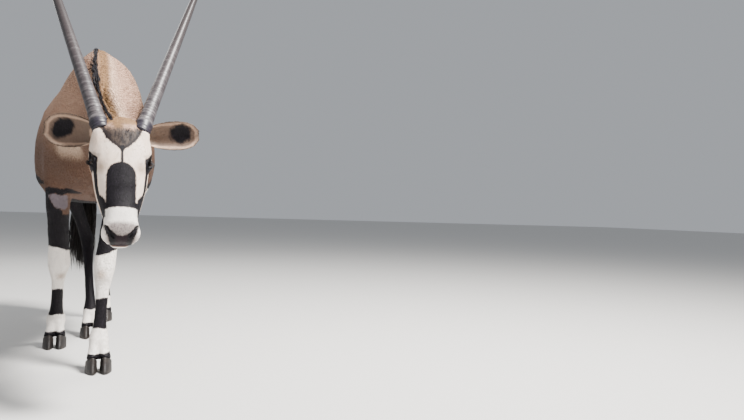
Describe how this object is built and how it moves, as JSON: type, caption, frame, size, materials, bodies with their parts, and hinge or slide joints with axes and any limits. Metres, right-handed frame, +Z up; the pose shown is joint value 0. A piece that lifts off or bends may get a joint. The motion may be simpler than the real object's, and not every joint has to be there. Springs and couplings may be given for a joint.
{
  "type": "gemsbok",
  "caption": "Life-size still model of a gemsbok in a slow walk with its head lowered, long straight horns and a tufted tail.",
  "frame": {"origin": "on the floor under the middle of the whole model", "axes": "+Z up, the animal faces -Y, its left side is +X"},
  "size_m": [0.6165, 1.8318, 1.5373],
  "materials": {
    "coat": "matt short hair, tan with white, black and cream markings",
    "plume": "long coarse black hair",
    "horn": "ringed dark horn, smoother towards the tip",
    "hoof": "dull dark horn",
    "eye": "wet gloss"
  },
  "bodies": {
    "root": {"torso": "coat", "neck": "coat", "head": "coat", "ear_left": "coat", "ear_right": "coat", "foreleg_left": "coat", "foreleg_right": "coat", "hindleg_left": "coat", "hindleg_right": "coat", "tail": "coat", "tail_plume": "plume", "horn_left": "horn", "horn_right": "horn", "eye_left": "eye", "eye_right": "eye", "forehoof_left_inner": "hoof", "forehoof_left_outer": "hoof", "forehoof_right_inner": "hoof", "forehoof_right_outer": "hoof", "hindhoof_left_inner": "hoof", "hindhoof_left_outer": "hoof", "hindhoof_right_inner": "hoof", "hindhoof_right_outer": "hoof"}
  },
  "joints": []
}
